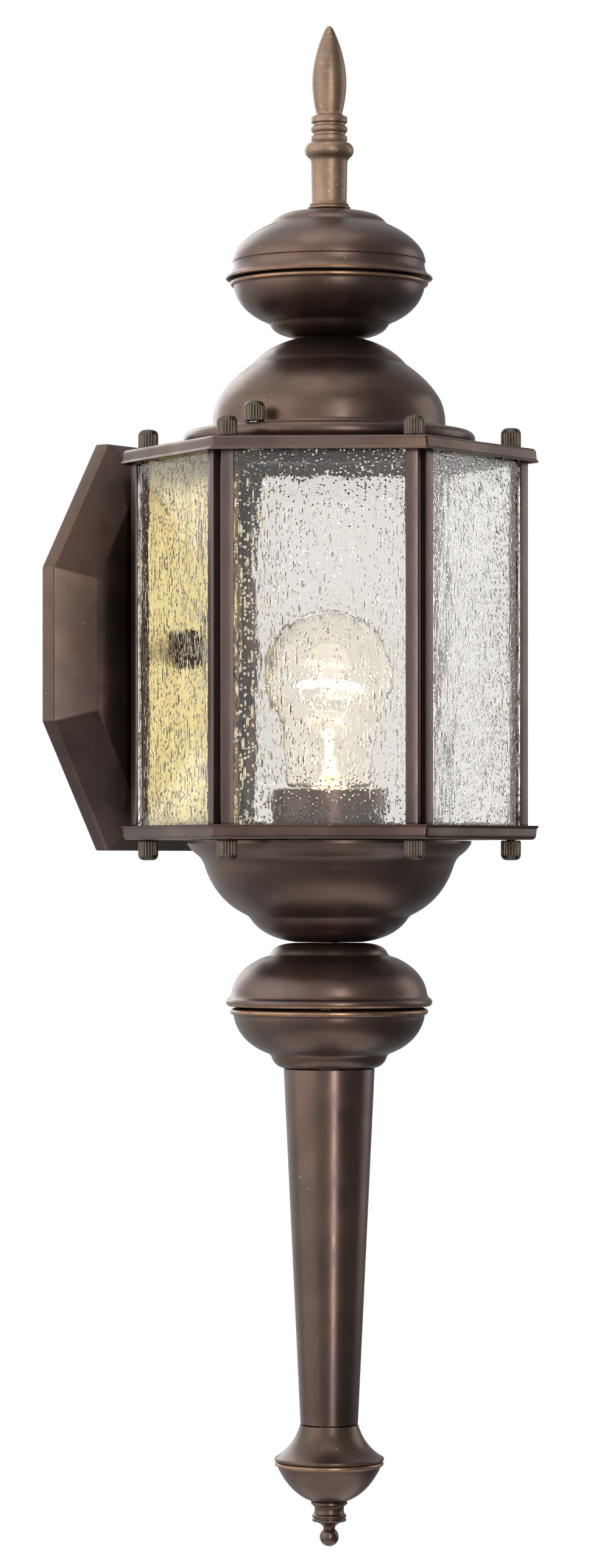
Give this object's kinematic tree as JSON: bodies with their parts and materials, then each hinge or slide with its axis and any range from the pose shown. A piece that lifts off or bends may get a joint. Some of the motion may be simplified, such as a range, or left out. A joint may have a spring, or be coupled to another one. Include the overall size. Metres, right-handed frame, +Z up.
{
  "type": "outdoor wall lantern",
  "caption": "Hexagonal wall lantern: seeded glass cage, lift-off domed roof, turned knops, spear finial, bowl and long tapered tail on an octagonal wall plate.",
  "frame": {"origin": "centre of the mounting strap's flat back face, on the wall plane", "axes": "+Y into the wall, -Y out to the front, +Z up, +X to the right seen from the front"},
  "size_m": [0.195, 0.1899, 0.7054],
  "materials": {
    "bronze": "oil-rubbed satin",
    "cast_bronze": "rubbed cast",
    "nut_bronze": "satin",
    "brass": "bright inside, bronze outside",
    "base_metal": "plain",
    "steel": "zinc plated",
    "porcelain": "glazed",
    "seeded_glass": "seeded, clear",
    "bulb_glass": "frosted"
  },
  "bodies": {
    "lantern": {"wall_plate": "bronze", "mounting_strap": "steel", "set_screw_top": "steel", "set_screw_bottom": "steel", "wire_nipple": "steel", "nipple_nut": "nut_bronze", "upper_cap": "bronze", "lower_cap": "bronze", "post_front_right": "bronze", "rod_front_right": "steel", "top_nut_front_right": "nut_bronze", "bottom_nut_front_right": "nut_bronze", "post_right": "bronze", "rod_right": "steel", "top_nut_right": "nut_bronze", "bottom_nut_right": "nut_bronze", "post_rear_right": "bronze", "rod_rear_right": "steel", "top_nut_rear_right": "nut_bronze", "bottom_nut_rear_right": "nut_bronze", "post_rear_left": "bronze", "rod_rear_left": "steel", "top_nut_rear_left": "nut_bronze", "bottom_nut_rear_left": "nut_bronze", "post_left": "bronze", "rod_left": "steel", "top_nut_left": "nut_bronze", "bottom_nut_left": "nut_bronze", "post_front_left": "bronze", "rod_front_left": "steel", "top_nut_front_left": "nut_bronze", "bottom_nut_front_left": "nut_bronze", "glass_front": "seeded_glass", "glass_front_right": "seeded_glass", "glass_rear_right": "seeded_glass", "glass_rear_left": "seeded_glass", "glass_front_left": "seeded_glass", "back_panel": "brass", "roof_stud_right": "steel", "roof_stud_left": "steel", "bowl": "bronze", "lower_knop_top": "bronze", "lower_knop_bottom": "bronze", "tail_tube": "bronze", "tail_cup": "bronze", "drop_finial": "bronze", "tail_rod": "steel", "socket": "porcelain", "socket_cup": "bronze"},
    "roof": {"roof_dome": "bronze", "upper_knop_bottom": "bronze", "upper_knop_top": "bronze", "finial": "cast_bronze", "roof_rod_nut": "steel", "roof_rod": "steel"},
    "roof_nut_left": {"roof_nut_left": "nut_bronze"},
    "roof_nut_right": {"roof_nut_right": "nut_bronze"},
    "bulb": {"bulb_glass": "bulb_glass", "bulb_base": "base_metal", "bulb_stem": "seeded_glass"}
  },
  "joints": [
    {"name": "roof_lift", "type": "slide", "parent": "lantern", "child": "roof", "axis": [0, 0, 1], "range_m": [0, 0.12]},
    {"name": "roof_nut_left_turn", "type": "hinge", "parent": "roof", "child": "roof_nut_left", "pos_m": [-0.062, -0.1055, 0.11], "axis": [0, 0, 1], "continuous": true},
    {"name": "roof_nut_right_turn", "type": "hinge", "parent": "roof", "child": "roof_nut_right", "pos_m": [0.062, -0.1055, 0.11], "axis": [0, 0, 1], "continuous": true},
    {"name": "bulb_turn", "type": "hinge", "parent": "lantern", "child": "bulb", "pos_m": [0, -0.1055, -0.067], "axis": [0, 0, 1], "continuous": true}
  ]
}
